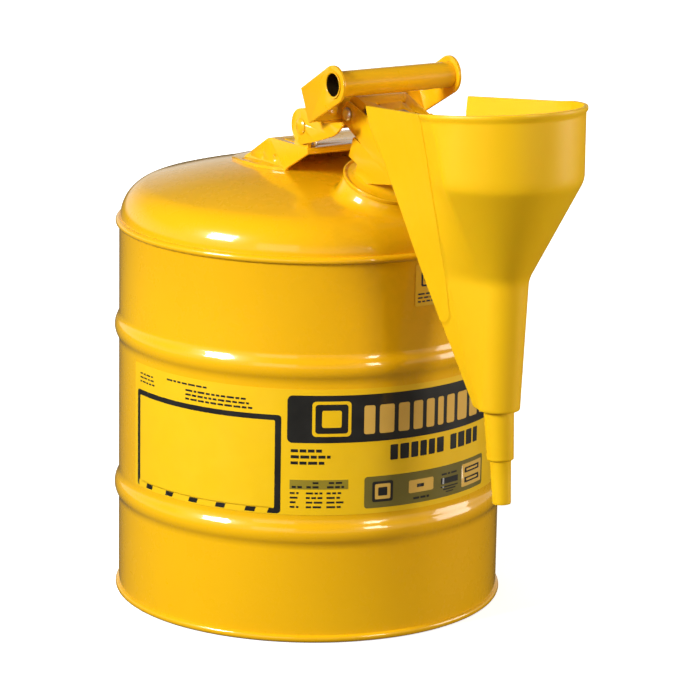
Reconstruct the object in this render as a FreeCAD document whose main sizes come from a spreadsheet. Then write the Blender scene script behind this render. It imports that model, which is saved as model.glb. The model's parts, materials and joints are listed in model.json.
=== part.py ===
import FreeCAD, Part
import Sketcher
import math
import os

# Steel Type I safety can with a plastic funnel hung on its spout side.
# Frame: origin at the centre of the can's bottom rim, +Z up, +X (front)
# towards the spout and funnel, millimetres.

Vector = FreeCAD.Vector
Rotation = FreeCAD.Rotation
Placement = FreeCAD.Placement
doc = FreeCAD.newDocument("safety_can")
sheet = doc.addObject("Spreadsheet::Sheet", "Sheet")
size = {}


def cell(alias, value):
    """One driving dimension: a plain number in the sheet with an alias."""
    row = len(size) + 1
    value = round(float(value), 5)
    size[alias] = value
    sheet.set("A%d" % row, alias)
    sheet.set("B%d" % row, repr(value))
    sheet.setAlias("B%d" % row, alias)


# ---------------------------------------------------------------- dimensions
for alias, value in [
    # tank
    ("tank_radius", 146.0),
    ("steel_gauge", 0.8),
    ("seam_height", 290.0),
    ("rib_low_height", 83.0),
    ("rib_high_height", 207.0),
    ("rib_half", 12.5),
    ("rib_proud", 3.2),
    ("dome_radius", 145.15),
    ("knuckle_radius", 27.5),
    ("knuckle_angle", 16.0),
    ("dome_skirt_low", 281.0),
    ("mouth_radius", 18.6),
    # spout, its yoke and the lid's hinge
    ("spout_tilt", 20.0),
    ("spout_base_x", 100.0),
    ("spout_base_z", 332.8),
    ("neck_outer", 18.5),
    ("neck_inner", 17.3),
    ("collar_radius", 28.5),
    ("slot_outer_width", 48.6),
    ("slot_inner_width", 43.4),
    ("arrester_hole_radius", 2.0),
    ("yoke_width", 48.0),
    ("yoke_gap", 44.0),
    ("yoke_boss_radius", 9.0),
    ("bolt_hole_radius", 3.05),
    ("hinge_x", 82.6),
    ("hinge_z", 383.4),
    ("hinge_pin_radius", 3.0),
    ("hinge_hole_radius", 3.05),
    # bridge bracket and the handle's pivot
    ("hat_width", 76.0),
    ("hat_gap", 71.0),
    ("lug_width", 74.6),
    ("lug_gap", 69.6),
    ("lug_radius", 11.0),
    ("flange_skin", 2.4),
    ("dimple_radius", 5.0),
    ("dimple_lift", 4.3),
    ("stud_x", 43.0),
    ("stud_y", 29.0),
    ("stud_hole_radius", 3.02),
    ("pivot_x", 44.5),
    ("pivot_z", 369.8),
    ("pivot_pin_radius", 3.0),
    ("pivot_hole_radius", 3.06),
    ("lug_hole_radius", 3.02),
    # handle
    ("grip_x", 104.0),
    ("grip_z", 410.0),
    ("grip_outer", 9.5),
    ("grip_inner", 8.3),
    ("grip_hole_radius", 9.55),
    ("grip_length", 104.0),
    ("bracket_width", 103.0),
    ("bracket_gap", 99.0),
    ("bracket_end_radius", 14.0),
    ("handle_yoke_width", 80.0),
    ("handle_yoke_gap", 76.0),
    ("handle_yoke_end_radius", 13.2),
    ("web_rivet_radius", 2.5),
    ("web_hole_radius", 2.55),
    # lid
    ("lever_width", 42.8),
    ("lever_gap", 38.8),
    ("lever_end_radius", 7.5),
    ("lever_top_low", 55.4),
    ("lever_top_thick", 1.8),
    ("lid_radius", 21.85),
    # funnel
    ("funnel_wall", 2.0),
    ("funnel_cutter_width", 200.0),
    ("lip_proud", 1.2),
    ("panel_proud", 0.7),
    ("tube_x", 245.5),
    ("tube_shift", 18.87),
    ("tube_lift", 0.91),
    ("tube_lean", 5.54),
    ("tip_radius", 6.5),
    ("tip_height", 127.6),
    # labels
    ("label_clearance", 0.03),
    ("label_thick", 0.22),
]:
    cell(alias, value)
sheet.recompute()


# ------------------------------------------------- sketches and their bindings
def num(value):
    """The number behind an alias, or the number itself."""
    return size[value] if isinstance(value, str) else float(value)


def bound(value, tag):
    """The expression for an alias, or for a new cell; None for a zero."""
    if num(value) == 0:
        return None
    if isinstance(value, str):
        return "Sheet." + value
    cell(tag, value)
    return "Sheet." + tag


def fix_point(sk, edge, end, place, tags):
    """Hold a point by two distances, or on an axis where its tag is None."""
    for value, tag, kind, axis in zip(place, tags, ("DistanceX", "DistanceY"), (-2, -1)):
        if tag is None:
            sk.addConstraint(Sketcher.Constraint("PointOnObject", edge, end, axis))
        else:
            k = sk.addConstraint(Sketcher.Constraint(kind, -1, 1, edge, end, value))
            sk.setExpression("Constraints[%d]" % k, tag)


def fix_radius(sk, edge, radius, tag):
    k = sk.addConstraint(Sketcher.Constraint("Radius", edge, radius))
    sk.setExpression("Constraints[%d]" % k, tag)


def arc_between(first, second, radius, side):
    """An arc joining two points, its centre left (+1) or right (-1) of the way."""
    (x1, y1), (x2, y2) = first, second
    dx, dy = x2 - x1, y2 - y1
    chord = math.hypot(dx, dy)
    reach = math.sqrt(radius * radius - chord * chord / 4)
    cx = (x1 + x2) / 2 - side * reach * dy / chord
    cy = (y1 + y2) / 2 + side * reach * dx / chord
    start, end = math.atan2(y1 - cy, x1 - cx), math.atan2(y2 - cy, x2 - cx)
    if side < 0:
        start, end = end, start
    if end <= start:
        end += 2 * math.pi
    return Part.ArcOfCircle(Part.Circle(Vector(cx, cy, 0), Vector(0, 0, 1), radius), start, end)


def loop(sk, name, points, arcs=None):
    """A closed outline of numbers or aliases. arcs maps an edge to (radius,
    side), side +1 putting the centre left of the edge's direction. (None,
    side, height) puts the centre on the sketch's vertical axis instead."""
    arcs = arcs or {}
    count = len(points)
    xy = [(num(x), num(y)) for x, y in points]
    tags = [
        (bound(x, "%s_px%d" % (name, i)), bound(y, "%s_py%d" % (name, i)))
        for i, (x, y) in enumerate(points)
    ]
    radii = {}
    for i, spec in arcs.items():
        if spec[0] is None:
            radii[i] = (math.hypot(xy[i][0], xy[i][1] - spec[2]), None)
        else:
            radii[i] = (num(spec[0]), bound(spec[0], "%s_rad%d" % (name, i)))
    sheet.recompute()

    for i in range(count):
        here, after = xy[i], xy[(i + 1) % count]
        if i in arcs:
            edge = arc_between(here, after, radii[i][0], arcs[i][1])
        else:
            edge = Part.LineSegment(Vector(*here, 0), Vector(*after, 0))
        sk.addGeometry(edge, False)

    # an arc always runs counter-clockwise, so one with side -1 starts at its far end
    start = [2 if i in arcs and arcs[i][1] < 0 else 1 for i in range(count)]
    for i in range(count):
        j = (i + 1) % count
        sk.addConstraint(Sketcher.Constraint("Coincident", i, 3 - start[i], j, start[j]))
    for i in range(count):
        fix_point(sk, i, start[i], xy[i], tags[i])
    for i, (radius, tag) in radii.items():
        if tag is None:
            sk.addConstraint(Sketcher.Constraint("PointOnObject", i, 3, -2))
        else:
            fix_radius(sk, i, radius, tag)
    return sk


def datum(body, role):
    return [f for f in body.Origin.OriginFeatures if f.Role == role][0]


def sketch(body, name, role="XZ_Plane", offset=0.0):
    sk = body.newObject("Sketcher::SketchObject", name)
    sk.AttachmentSupport = [(datum(body, role), "")]
    sk.MapMode = "FlatFace"
    if offset:
        sk.AttachmentOffset = Placement(Vector(0, 0, offset), Rotation())
    return sk


def circles(body, name, rings, role="XZ_Plane", offset=0.0):
    """A sketch of circles, each given as x, y, radius."""
    sk = sketch(body, name + "_circles", role, offset)
    for i, (x, y, radius) in enumerate(rings):
        tag = "%s%d" % (name, i)
        place_tags = (bound(x, tag + "_px"), bound(y, tag + "_py"))
        radius_tag = bound(radius, tag + "_rad")
        sheet.recompute()
        place = (num(x), num(y))
        circle = Part.Circle(Vector(*place, 0), Vector(0, 0, 1), num(radius))
        edge = sk.addGeometry(circle, False)
        fix_point(sk, edge, 3, place, place_tags)
        fix_radius(sk, edge, num(radius), radius_tag)
    return sk


# ------------------------------------------------------- bodies and booleans
def new_body(name):
    return doc.addObject("PartDesign::Body", name + "_body")


def extrude(kind, body, sk, name, length, midplane=True):
    """A Pad or a Pocket of a sketch."""
    feature = body.newObject("PartDesign::" + kind, "%s_%s" % (name, kind.lower()))
    feature.Profile = sk
    feature.Midplane = midplane
    tag = bound(length, name + "_long")
    sheet.recompute()
    feature.Length = num(length)
    feature.setExpression("Length", tag)
    body.Tip = feature
    return feature


def pad(body, name, points, length, arcs=None, role="XZ_Plane", offset=0.0, midplane=True):
    sk = loop(sketch(body, name + "_outline", role, offset), name, points, arcs)
    extrude("Pad", body, sk, name, length, midplane)


def pocket(body, name, points, length, role="XZ_Plane", offset=0.0):
    sk = loop(sketch(body, name + "_outline", role, offset), name, points)
    extrude("Pocket", body, sk, name, length)


def drill(body, name, rings, length, role="XZ_Plane", offset=0.0):
    """Round holes, cut to both sides of the sketch."""
    return extrude("Pocket", body, circles(body, name, rings, role, offset), name, length)


def plate(name, points, length, arcs=None, role="XZ_Plane", offset=0.0, midplane=True):
    """A prism: an outline on one of the body's own planes, padded."""
    body = new_body(name)
    pad(body, name, points, length, arcs, role, offset, midplane)
    return body


def turned(name, points, arcs=None):
    """A body of revolution about its own Z axis, from radius and height."""
    body = new_body(name)
    sk = loop(sketch(body, name + "_profile"), name, points, arcs)
    turn = body.newObject("PartDesign::Revolution", name + "_turn")
    turn.Profile = sk
    turn.ReferenceAxis = (sk, ["V_Axis"])
    turn.Angle = 360
    body.Tip = turn
    return body


def rivet(name, low, grip, shaft, head, tall):
    """A rivet about Z: shaft from low to low + grip, a head at each end."""
    high = low + grip
    return turned(
        name,
        [(0, low - tall), (head * 0.62, low - tall), (head, low - tall * 0.25), (head, low),
         (shaft, low), (shaft, high), (head, high), (head, high + tall * 0.25),
         (head * 0.62, high + tall), (0, high + tall)],
    )


def cut(name, base, tool):
    result = doc.addObject("Part::Cut", name)
    result.Base = base
    result.Tool = tool
    return result


def fuse(name, shapes):
    result = doc.addObject("Part::MultiFuse", name)
    result.Shapes = shapes
    return result


def common(name, shapes):
    result = doc.addObject("Part::MultiCommon", name)
    result.Shapes = shapes
    return result


def group(name, shapes):
    result = doc.addObject("Part::Compound", name)
    result.Links = shapes
    return result


# -------------------------------------------------------- points and placing
def rectangle(x1, y1, x2, y2):
    return [(x1, y1), (x2, y1), (x2, y2), (x1, y2)]


def mirrored(points):
    """A plan outline reflected to the other side of y = 0, same winding."""
    return [(x, -y) for x, y in reversed(points)]


def on_circle(cx, cy, radius, *degrees):
    """The points of a circle at the given angles."""
    return [
        (cx + radius * math.cos(math.radians(d)), cy + radius * math.sin(math.radians(d)))
        for d in degrees
    ]


def along_y(x, y, z):
    """Turns a piece made along Z so that it runs along +Y from x, y, z."""
    return Placement(Vector(x, y, z), Rotation(Vector(1, 0, 0), -90))


def base_from(obj, x_alias, z_alias):
    obj.setExpression("Placement.Base.x", "Sheet." + x_alias)
    obj.setExpression("Placement.Base.z", "Sheet." + z_alias)
    return obj


def on_cross_axis(obj, axis):
    """Lays a piece along the hinge or pivot axis."""
    obj.Placement = along_y(size[axis + "_x"], 0, size[axis + "_z"])
    return base_from(obj, axis + "_x", axis + "_z")


# the spout leans forward: its own frame starts at the collar's centre
base_x = size["spout_base_x"]
base_z = size["spout_base_z"]
tilt = math.radians(size["spout_tilt"])
spout_place = Placement(Vector(base_x, 0, base_z), Rotation(Vector(0, 1, 0), size["spout_tilt"]))


def on_spout(obj):
    obj.Placement = spout_place
    return base_from(obj, "spout_base_x", "spout_base_z")


def to_spout(x, z):
    """A point of the side view in the spout's own frame."""
    dx, dz = x - base_x, z - base_z
    return (dx * math.cos(tilt) - dz * math.sin(tilt), dx * math.sin(tilt) + dz * math.cos(tilt))


def from_spout(x, z):
    """A point of the spout's own frame in the side view."""
    return (base_x + x * math.cos(tilt) + z * math.sin(tilt),
            base_z - x * math.sin(tilt) + z * math.cos(tilt))


nodes = {}


def node(label, obj):
    """Names a finished piece, which is exported under its label."""
    obj.Label = label
    nodes[label] = obj


# ----------------------------------------------------------------- tank wall
tank_radius = size["tank_radius"]
gauge = size["steel_gauge"]
rib_half = size["rib_half"]
rib_proud = size["rib_proud"]
# a rib is four equal arcs: a flank, half the crest, and the same mirrored
rib_arc = (rib_half * rib_half / 4 + rib_proud * rib_proud / 4) / rib_proud
cell("rib_arc", rib_arc)
cell("rib_arc_wide", rib_arc + gauge)
cell("rib_arc_tight", rib_arc - gauge)
cell("tank_inside", tank_radius - gauge)


def rib(middle):
    """Outer points going up and inner points going down for one rib."""
    crest_x = tank_radius + rib_proud / 2
    outside = [(tank_radius, middle - rib_half), (crest_x, middle - rib_half / 2),
               (crest_x, middle + rib_half / 2), (tank_radius, middle + rib_half)]
    flank_x = tank_radius + rib_arc
    scale = (rib_arc + gauge) / rib_arc
    join_x = flank_x + (crest_x - flank_x) * scale
    join_z = rib_half - rib_half / 2 * scale
    inside = [(tank_radius - gauge, middle + rib_half), (join_x, middle + join_z),
              (join_x, middle - join_z), (tank_radius - gauge, middle - rib_half)]
    return outside, inside


wall_points = [("tank_inside", 0), (146.6, 0), ("tank_radius", 5.2)]
wall_arcs = {1: (3.2, 1)}


def add_rib(points, flank, crest, side):
    first = len(wall_points)
    wall_points.extend(points)
    wall_arcs.update({first: (flank, side), first + 1: (crest, -side), first + 2: (flank, side)})


low_outside, low_inside = rib(size["rib_low_height"])
high_outside, high_inside = rib(size["rib_high_height"])
for points in (low_outside, high_outside):
    add_rib(points, "rib_arc", "rib_arc", -1)
wall_arcs[len(wall_points)] = (2.5, 1)
wall_points += [("tank_radius", 285.2), (146.3, "seam_height"), ("tank_inside", "seam_height")]
for points in (high_inside, low_inside):
    add_rib(points, "rib_arc_wide", "rib_arc_tight", 1)
node("tank_wall", turned("wall", wall_points, wall_arcs))

# ----------------------------------------------------------------- tank dome
dome_radius = size["dome_radius"]
knuckle = size["knuckle_radius"]
knuckle_angle = math.radians(size["knuckle_angle"])
# where the knuckle meets the crown tangentially, and the crown's sphere
join_x = dome_radius - knuckle + knuckle * math.sin(knuckle_angle)
join_z = size["seam_height"] + knuckle * math.cos(knuckle_angle)
crown = join_x / math.sin(knuckle_angle)
crown_z = join_z - crown * math.cos(knuckle_angle)
FLAT_RADIUS = 3.0  # small flat at the dome's centre


def dome_edge(grow):
    """Points of the dome's outer profile grown outwards, from the seam up."""
    flat_z = crown_z + math.sqrt((crown + grow) ** 2 - FLAT_RADIUS ** 2)
    return [
        (dome_radius + grow, size["seam_height"]),
        (join_x + grow * math.sin(knuckle_angle), join_z + grow * math.cos(knuckle_angle)),
        (FLAT_RADIUS, flat_z),
        (0, flat_z),
    ]


def envelope(name, grow):
    """The filled dome grown outwards, used only to trim what sits on it."""
    return turned(
        name,
        [(0, 250), (dome_radius + grow, 250)] + dome_edge(grow),
        {2: (knuckle + grow, 1), 3: (None, 1, crown_z)},
    )


dome_inside = dome_radius - gauge
dome_shell = turned(
    "dome",
    [("dome_radius", "dome_skirt_low"), ("dome_radius", "seam_height")]
    + dome_edge(0)[1:] + dome_edge(-gauge)[:0:-1]
    + [(dome_inside, "seam_height"), (dome_inside, "dome_skirt_low")],
    {1: ("knuckle_radius", 1), 2: (None, 1, crown_z),
     6: (None, -1, crown_z), 7: (knuckle - gauge, -1)},
)
# half a turn puts the surface's seam at the back, away from the mouth
dome_shell.Placement = Placement(Vector(0, 0, 0), Rotation(Vector(0, 0, 1), 180))
mouth_tool = on_spout(turned("dome_hole", rectangle(0, -45, "mouth_radius", 20)))
node("tank_dome", cut("dome_cut", dome_shell, mouth_tool))
dome_touch = envelope("dome_touch", 0.05)

# ----------------------------------------------------------------- tank base
node("tank_base", turned(
    "base",
    [(0, 6.6), (100, 6.6), (103, 4.8), (120, 4.8), (123, 6.6), (144.3, 6.6), (144.3, 0.8),
     (145.1, 0.8), (145.1, 7.4), (122.7, 7.4), (119.7, 5.6), (103.3, 5.6), (100.3, 7.4),
     (0, 7.4)],
))

# --------------------------------------------------- spout collar and neck
collar = on_spout(turned(
    "collar",
    [(33.5, -24), ("collar_radius", -0.6), ("collar_radius", 1.9), (26.3, 2.6), (20.2, 12.5),
     (18.55, 12.5), (18.55, 9.8), (24.6, 1.2), (27.0, -0.9), (32.0, -24)],
    {1: (1.6, 1), 3: (16.0, -1)},
))
# two slots, one for each cheek of the spout yoke
slot_outer = on_spout(plate("collar_slot", rectangle(-30, -3.2, 30, 14), "slot_outer_width"))
slot_inner = on_spout(plate("collar_slot_core", rectangle(-31, -4.2, 31, 15), "slot_inner_width"))
slots = cut("collar_slots", slot_outer, slot_inner)
node("spout_collar", cut("collar_fit", cut("collar_trim", collar, dome_touch), slots))

node("spout_neck", on_spout(turned(
    "neck",
    [("neck_inner", -24), ("neck_outer", -24), ("neck_outer", 46), (20.0, 47.2), (20.0, 49.0),
     (19.0, 50.0), (17.8, 50.0), ("neck_inner", 49.4)],
    {3: (1.6, 1)},
)))

# ----------------------------- flame arrester: a perforated tube in the neck
arrester = turned(
    "arrester",
    [(0, -60), (16.6, -60), (16.6, 43.0), (17.2, 43.0), (17.2, 44.4), (15.6, 44.4),
     (15.6, -58.8), (0, -58.8)],
)
column = [(0, -52 + 12 * i, "arrester_hole_radius") for i in range(7)]
perforation = drill(arrester, "arrester_hole", column, length=60)
# each column passes right through, so half a turn covers the whole tube
pattern = arrester.newObject("PartDesign::PolarPattern", "arrester_pattern")
pattern.Originals = [perforation]
pattern.Axis = (datum(arrester, "Z_Axis"), [""])
pattern.Angle = 180
pattern.Occurrences = 6
arrester.Tip = pattern
node("flame_arrester", on_spout(arrester))

retainer = on_spout(turned("retainer", rectangle(16.0, 45.0, 17.2, 46.2)))
retainer_gap = on_spout(plate("retainer_gap", rectangle(10, 44, 20, 47), length=6))
node("arrester_ring", cut("retainer_cut", retainer, retainer_gap))

# ---------------------------------------------------------------- spout yoke
hinge_x = size["hinge_x"]
hinge_z = size["hinge_z"]
yoke = new_body("spout_yoke")
pad(
    yoke, "yoke",
    [(91.0, 333.4), (146.5, 341.6), (151.5, 349.0), (151.5, 360.0), (149.7, 361.8),
     (139.6, 361.8), (139.2, 367.5), (118.0, 381.5)]
    + on_circle(hinge_x, hinge_z, size["yoke_boss_radius"], 68, 155, 242)
    + [(99.5, 364.5)],
    "yoke_width",
    {8: ("yoke_boss_radius", 1), 9: ("yoke_boss_radius", 1)},
)
# the band crosses behind the neck and joins the two cheeks
band = [from_spout(x, z) for x, z in rectangle(-21.6, 13, -8, 29)]
pad(yoke, "band", band, "yoke_width")
hollow = [(-19.5, 13), (-19.5, 29), (-60, 29), (-60, 70), (80, 70), (80, -30), (-60, -30),
          (-60, 13)]
pocket(yoke, "yoke_hollow", [from_spout(x, z) for x, z in hollow], "yoke_gap")
drill(yoke, "yoke_hole", [("hinge_x", "hinge_z", "hinge_hole_radius")], length=60)

# the bolt stands out backwards from the band
bolt_x, bolt_z = from_spout(-21.65, 20)
bolt_place = Placement(
    Vector(bolt_x, 0, bolt_z), Rotation(Vector(0, 1, 0), size["spout_tilt"] - 90)
)
bolt_bore = turned("bolt_bore", rectangle(0, -4, "bolt_hole_radius", 4))
bolt_bore.Placement = bolt_place
node("spout_yoke", cut("yoke_bored", yoke, bolt_bore))

bolt = turned(
    "bolt",
    [(0, -2.9), (3.0, -2.9), (3.0, 0.05), (8.0, 0.05), (8.0, 1.2), (6.6, 1.6), (6.6, 5.2),
     (5.6, 6.2), (0, 6.2)],
)
bolt.Placement = bolt_place
node("yoke_bolt", bolt)

# radius and distance from the middle, for the pin's +Y half
pin_end = [("hinge_pin_radius", 24.15), (5.0, 24.15), (5.0, 25.4), (3.6, 26.4), (0, 26.4)]
hinge_pin = turned("lid_pin", [(x, -z) for x, z in reversed(pin_end)] + pin_end)
node("lid_hinge_pin", on_cross_axis(hinge_pin, "hinge"))

# ------------------------------------------------------------ bridge bracket
pivot_x = size["pivot_x"]
pivot_z = size["pivot_z"]
hat = new_body("hat")
pad(
    hat, "hat",
    [(-42, 316), (-37, 334), (-6, 352.0), (1, 354.0), (50.0, 354.0), (51.0, 353.0),
     (51.0, 350.0), (21, 334), (19, 316)],
    "hat_width",
    {2: (14.0, -1)},
)
pocket(
    hat, "hat_in",
    [(-39.2, 315), (-34.2, 332.8), (-4.9, 349.8), (1.4, 351.5), (48.5, 351.5), (48.5, 315)],
    "hat_gap",
)
pocket(hat, "hat_open", rectangle(40, 315, 70, 348.0), "hat_gap")  # front opening
# two upright lugs carry the handle's pivot
pad(
    hat, "lug",
    on_circle(pivot_x, pivot_z, size["lug_radius"], -50, 60, 170)
    + [(31.5, 353.0), (31.5, 351.8), (49.5, 351.8)],
    "lug_width",
    {0: ("lug_radius", 1), 1: ("lug_radius", 1)},
)
pocket(hat, "lug_in", rectangle(20, 354.0, 70, 390), "lug_gap")
# narrow slots in the top, one inside each lug's line
HAT_TOP = {"role": "XY_Plane", "offset": 354.5}
slot = [(8, -33.0), (29, -34.3), (29, -32.0), (8, -31.0)]
pocket(hat, "slot", slot, length=8, **HAT_TOP)
pocket(hat, "slot_far", mirrored(slot), length=8, **HAT_TOP)
drill(hat, "lug_hole", [("pivot_x", "pivot_z", "lug_hole_radius")], length=90)
stud_places = [(size["stud_x"], side * size["stud_y"]) for side in (-1, 1)]
stud_rings = [(x, y, "stud_hole_radius") for x, y in stud_places]
drill(hat, "stud_hole", stud_rings, length=8, **HAT_TOP)

# the flange follows the dome outside the hat
flange_side = [(19, -37.9), (12, -43.5), (-4, -47.5), (-26, -47), (-50, -41), (-62, -29)]
flange_plan = plate(
    "flange",
    flange_side + [(-66, 0)] + mirrored(flange_side)
    + [(19, 35.6), (-36, 35.6), (-36, -35.6), (19, -35.6)],
    length=60, role="XY_Plane", offset=320,
)
flange = common("bridge_flange", [flange_plan, envelope("flange_skin", size["flange_skin"])])
bridge = fuse("bridge_whole", [hat, flange])

# weld dimples pressed into the flange, by x and y
dimple_places = [(-30, -42), (-11, -42.5), (7, -41), (-30, 42), (-11, 42.5), (7, 41),
                 (-51, -16), (-51, 16)]
dimples = []
for i, (x, y) in enumerate(dimple_places):
    reach = math.hypot(x, y)
    surface_z = crown_z + math.sqrt((crown + size["flange_skin"]) ** 2 - reach * reach)
    ball = doc.addObject("Part::Sphere", "weld_dimple%d" % i)
    ball.setExpression("Radius", "Sheet.dimple_radius")
    ball.Placement = Placement(Vector(x, y, surface_z + size["dimple_lift"]), Rotation())
    dimples.append(ball)
bridge_trim = cut("bridge_trim", bridge, dome_touch)
node("bridge_bracket", cut("bridge_dimpled", bridge_trim, fuse("dimples", dimples)))

pivot_rivets = []
for i, low in enumerate((-40.15, 34.65)):
    piece = rivet(
        "pivot_rivet%d" % i, low=low, grip=5.5, shaft="pivot_pin_radius", head=6.0, tall=2.0
    )
    pivot_rivets.append(on_cross_axis(piece, "pivot"))
node("handle_pivot_rivets", group("pivot_rivets", pivot_rivets))

stud_profile = [(0, 349.2), (4.6, 349.2), (4.6, 351.45), (3.0, 351.45), (3.0, 354.05),
                (4.2, 354.05), (4.2, 358.2), (3.4, 359.0), (0, 359.0)]
studs = []
for i, (x, y) in enumerate(stud_places):
    stud = turned("stud%d" % i, stud_profile)
    stud.Placement = Placement(Vector(x, y, 0), Rotation())
    studs.append(stud)
node("bridge_studs", group("studs", studs))

# ------------------------------------------------------------ handle bracket
grip_x = size["grip_x"]
grip_z = size["grip_z"]
end_radius = size["bracket_end_radius"]
# the web is the flat crosspiece that bracket and yoke share; it leans back
web_foot = (72.7, 377.5)
web_head = (61.4, 401.5)
web_length = math.dist(web_foot, web_head)
up_x = (web_head[0] - web_foot[0]) / web_length
up_z = (web_head[1] - web_foot[1]) / web_length
back_x = -up_z
back_z = up_x


def on_web(up, back):
    """A point so far up the web and behind its rear face."""
    return (web_foot[0] + up * up_x + back * back_x, web_foot[1] + up * up_z + back * back_z)


def tangent(start, side):
    """Where a line from start touches the bracket's round end, with its angle."""
    dx, dz = grip_x - start[0], grip_z - start[1]
    distance = math.hypot(dx, dz)
    angle = math.atan2(dz, dx) + side * math.asin(end_radius / distance)
    leg = math.sqrt(distance ** 2 - end_radius ** 2)
    x, z = start[0] + leg * math.cos(angle), start[1] + leg * math.sin(angle)
    return (x, z), math.degrees(math.atan2(z - grip_z, x - grip_x))


low_touch, low_angle = tangent(web_foot, -1)
high_touch, high_angle = tangent(web_head, 1)
tip = on_circle(grip_x, grip_z, end_radius, (low_angle + high_angle) / 2)
bracket = new_body("bracket")
pad(
    bracket, "bracket",
    [web_foot, low_touch] + tip + [high_touch, web_head],
    "bracket_width",
    {1: ("bracket_end_radius", 1), 2: ("bracket_end_radius", 1)},
)
pocket(bracket, "bracket_in", [on_web(-20, -2), (150, 340), (150, 450), on_web(45, -2)],
       "bracket_gap")
drill(bracket, "grip_hole", [("grip_x", "grip_z", "grip_hole_radius")], length=120)

# the rivets through the web: distance up it, and y
web_rivet_places = [(8, -30), (8, 30), (17, -30), (17, 30)]
web_turn = Rotation(Vector(0, 0, 1), Vector(back_x, 0, back_z))


def web_place(up, y):
    x, z = on_web(up, 0)
    return Placement(Vector(x, y, z), web_turn)


def web_bores(name, low):
    """The drills for the four web rivets, starting at low along their axes."""
    bores = []
    for i, (up, y) in enumerate(web_rivet_places):
        bore = turned("%s%d" % (name, i), rectangle(0, low, "web_hole_radius", 8))
        bore.Placement = web_place(up, y)
        bores.append(bore)
    return fuse(name + "s", bores)


node("handle_bracket", cut("bracket_bored", bracket, web_bores("web_bore", -6)))

web_rivets = []
for i, (up, y) in enumerate(web_rivet_places):
    piece = rivet(
        "web_rivet%d" % i, low=-2.05, grip=4.15, shaft="web_rivet_radius", head=4.6, tall=1.5
    )
    piece.Placement = web_place(up, y)
    web_rivets.append(piece)
node("yoke_rivets", group("web_rivets", web_rivets))

# ----------------------------------------------------------------- grip tube
grip = new_body("grip")
grip_rings = [("grip_x", "grip_z", "grip_outer"), ("grip_x", "grip_z", "grip_inner")]
extrude("Pad", grip, circles(grip, "grip", grip_rings), "grip", "grip_length")
node("grip_tube", grip)

# --------------------------------------------------------------- handle yoke
handle_yoke = new_body("handle_yoke")
pivot_end = on_circle(pivot_x, pivot_z, size["handle_yoke_end_radius"], -72, 95, 190)
pad(
    handle_yoke, "hyoke",
    [pivot_end[0], (64.0, 361.2), (86.0, 368.6), (98.0, 377.4), (100.0, 379.9), (97.6, 381.0),
     (76.0, 377.0), on_web(-1.2, 0.05), on_web(21, 0.05), on_web(21, 2.05), (52.0, 384.6)]
    + pivot_end[1:],
    "handle_yoke_width",
    {2: (34.0, 1), 11: ("handle_yoke_end_radius", 1), 12: ("handle_yoke_end_radius", 1)},
)
# hollowed behind, below and ahead of the web, as up and back from its foot
for name, corners in (
    ("hyoke_back", [(-60, 2.05), (60, 2.05), (60, 80), (-60, 80)]),
    ("hyoke_low", [(-6, 90), (-6, -90), (-60, -90), (-60, 90)]),
    ("hyoke_front", [(-60, 0.05), (60, 0.05), (60, -90), (-60, -90)]),
):
    pocket(handle_yoke, name, [on_web(up, back) for up, back in corners], "handle_yoke_gap")
drill(handle_yoke, "hyoke_hole", [("pivot_x", "pivot_z", "pivot_hole_radius")], length=100)
node("handle_yoke", cut("handle_yoke_bored", handle_yoke, web_bores("yoke_web_bore", -1)))

# ----------------------------------------------------------------------- lid
node("lid_cap", on_spout(turned(
    "cap",
    [(3.2, 53.5), (20.75, 53.5), (20.75, 46.0), ("lid_radius", 46.0), ("lid_radius", 54.0),
     (20.55, 55.3), (3.2, 55.3)],
    {4: (1.9, 1)},
)))
node("lid_gasket", on_spout(turned("gasket", rectangle(3.6, 50.1, 20.6, 53.4))))

# the lever: two cheeks on the hinge pin and a round-ended top over the cap
lever_x, lever_z = to_spout(hinge_x, hinge_z)
lever_half = size["lever_width"] / 2
lever = new_body("lever")
pad(
    lever, "lever",
    on_circle(lever_x, lever_z, size["lever_end_radius"], 175, 270, 350)
    + [(-19.0, "lever_top_low"), (-19.0, 57.2), (-29.0, 57.2), (-38.0, 52.0)],
    "lever_width",
    {0: ("lever_end_radius", 1), 1: ("lever_end_radius", 1), 5: (11.0, 1)},
)
pocket(lever, "lever_in", rectangle(-50, 20, -10, "lever_top_low"), "lever_gap")
pad(
    lever, "lever_plan",
    [(-29.0, -lever_half), (0, -lever_half), (lever_half, 0), (0, lever_half),
     (-29.0, lever_half)],
    "lever_top_thick",
    {1: (lever_half, 1), 2: (lever_half, 1)},
    role="XY_Plane", offset=size["lever_top_low"], midplane=False,
)
drill(lever, "lever_hole", [(lever_x, lever_z, "pivot_hole_radius")], length=60)
lever_top_holes = [(0, 0, 2.7), (-18, 11, 1.5), (-1.5, 12.0, 1.5), (-18, -11, 1.5)]
drill(lever, "lever_top_hole", lever_top_holes, length=6, role="XY_Plane", offset=56.0)
node("lid_lever", on_spout(lever))

node("relief_stem", on_spout(turned(
    "stem",
    [(0, 42), (5.2, 42), (5.2, 44), (2.5, 44), (2.5, 57.3), (6.0, 57.3), (6.0, 58.0),
     (4.0, 59.4), (0, 59.4)],
)))


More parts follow.
